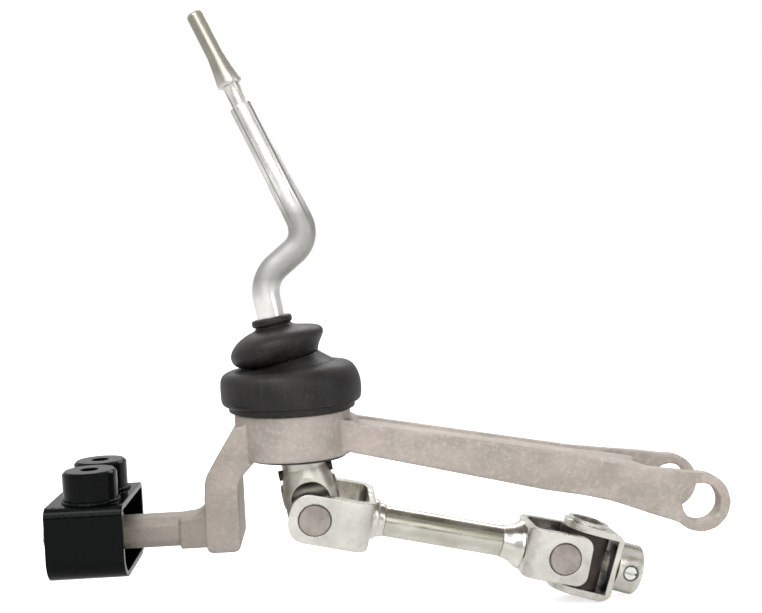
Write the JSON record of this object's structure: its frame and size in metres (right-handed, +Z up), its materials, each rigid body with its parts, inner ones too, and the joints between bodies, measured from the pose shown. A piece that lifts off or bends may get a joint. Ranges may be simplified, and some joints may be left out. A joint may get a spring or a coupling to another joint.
{
  "type": "remote gearshift lever mechanism",
  "caption": "Remote gearshift mechanism: bent lever in a booted pivot, cast fork with two ears, jointed link rod and rubber-mounted bracket.",
  "frame": {"origin": "middle of the two gearbox ears, on their bore axis", "axes": "+X from the body bracket to the ears, +Y across along the ear bore, +Z up along the ring's axis"},
  "size_m": [0.3963, 0.083, 0.3602],
  "materials": {
    "cast_aluminium": "die cast, matt, slightly warm grey",
    "zinc_plated_steel": "bright zinc plating",
    "black_gloss_paint": "glossy black dip paint",
    "black_rubber": "satin moulded rubber",
    "black_plastic": "matt moulded plastic",
    "dull_steel": "dull ground steel",
    "phosphated_steel": "dark brown phosphate",
    "bearing_bronze": "sintered bronze"
  },
  "bodies": {
    "carrier": {"pivot_ring": "cast_aluminium", "carrier_leg": "cast_aluminium", "carrier_spigot": "cast_aluminium", "near_arm": "cast_aluminium", "far_arm": "cast_aluminium", "arm_web": "cast_aluminium", "upper_seat": "black_plastic", "lower_seat": "black_plastic", "select_bushes": "bearing_bronze", "boot_base": "black_rubber", "bush_sleeve": "dull_steel", "stub_washer": "dull_steel", "stub_screw": "dull_steel"},
    "bracket": {"bracket_shell": "black_gloss_paint", "bracket_bosses": "black_gloss_paint", "rubber_bush": "black_rubber"},
    "selector": {"select_ring": "dull_steel", "boot_lower_fold": "black_rubber"},
    "lever": {"shift_lever": "zinc_plated_steel", "lever_ball": "dull_steel", "pivot_pin": "dull_steel", "lever_yoke": "zinc_plated_steel", "lever_cross_pin": "phosphated_steel", "lever_yoke_caps": "dull_steel", "boot_upper_fold": "black_rubber", "boot_collar": "black_rubber"},
    "front_joint": {"front_joint_block": "phosphated_steel", "lever_yoke_pin": "dull_steel", "front_shaft_pin": "dull_steel"},
    "link": {"front_shaft_yoke": "zinc_plated_steel", "front_shaft_caps": "dull_steel", "link_shaft": "zinc_plated_steel", "rear_shaft_yoke": "zinc_plated_steel", "rear_shaft_caps": "dull_steel"},
    "rear_joint": {"rear_joint_block": "phosphated_steel", "rear_shaft_pin": "dull_steel", "coupling_pin": "phosphated_steel"},
    "coupling": {"coupling_yoke": "zinc_plated_steel", "coupling_caps": "phosphated_steel", "coupling_sleeve": "zinc_plated_steel", "lock_screw": "zinc_plated_steel"}
  },
  "joints": [
    {"name": "bracket_twist", "type": "hinge", "parent": "carrier", "child": "bracket", "pos_m": [-0.3495, 0, -0.006], "axis": [1, 0, 0], "range_deg": [-5, 5]},
    {"name": "select_rock", "type": "hinge", "parent": "carrier", "child": "selector", "pos_m": [-0.2293, 0, 0.0474], "axis": [1, 0, 0], "range_deg": [-7, 7], "deforming": ["boot_lower_fold"]},
    {"name": "shift_swing", "type": "hinge", "parent": "selector", "child": "lever", "pos_m": [-0.2293, 0, 0.0474], "axis": [0, 1, 0], "range_deg": [-5, 14], "deforming": ["boot_upper_fold"]},
    {"name": "front_joint_swing", "type": "hinge", "parent": "lever", "child": "front_joint", "pos_m": [-0.22318, 0, 0.01162], "axis": [0.9857, 0, 0.1685], "range_deg": [-7, 7]},
    {"name": "link_swing", "type": "hinge", "parent": "front_joint", "child": "link", "pos_m": [-0.22138, 0.00132, 0.00105], "axis": [-0.0205, 0.9925, 0.1201], "range_deg": [-14, 5]},
    {"name": "rear_joint_swing", "type": "hinge", "parent": "link", "child": "rear_joint", "pos_m": [-0.07591, 0.00866, -0.03479], "axis": [-0.0504, 0.9987, 0], "range_deg": [-8, 12]},
    {"name": "coupling_swing", "type": "hinge", "parent": "rear_joint", "child": "coupling", "pos_m": [-0.06261, 0.00934, -0.03912], "axis": [0.3086, 0.0156, 0.9511], "range_deg": [-12, 12]}
  ],
  "couplings": [
    {"joint": "front_joint_swing", "follows": "select_rock", "ratio": -1},
    {"joint": "link_swing", "follows": "shift_swing", "ratio": -1}
  ]
}
